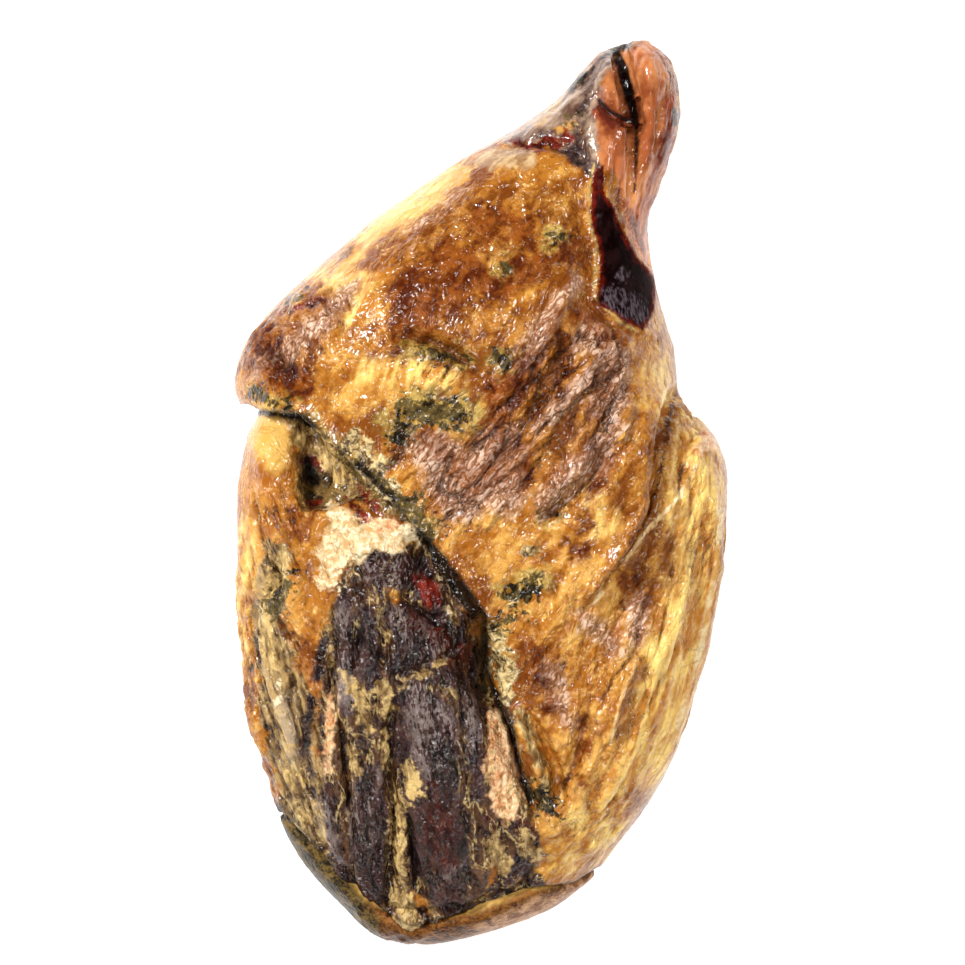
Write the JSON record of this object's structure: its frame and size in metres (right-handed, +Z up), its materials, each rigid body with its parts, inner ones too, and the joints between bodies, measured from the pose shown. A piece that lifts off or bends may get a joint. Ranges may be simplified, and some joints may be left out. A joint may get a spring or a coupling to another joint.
{
  "type": "cured ham",
  "caption": "A whole boned cured ham lying on its rind: a long rounded slab of cured meat under golden fat, with a folded opening across the top and a narrow shank at one end.",
  "frame": {"origin": "on the surface it lies on, under the middle of the ham's box", "axes": "+Y runs from the butt to the shank, +X is to the right with the cut face up, +Z is up"},
  "size_m": [0.2463, 0.4501, 0.117],
  "materials": {
    "cured_fat": "oily golden fat and dark cured lean, mottled and finely wrinkled"
  },
  "bodies": {
    "root": {"ham": "cured_fat"}
  },
  "joints": []
}
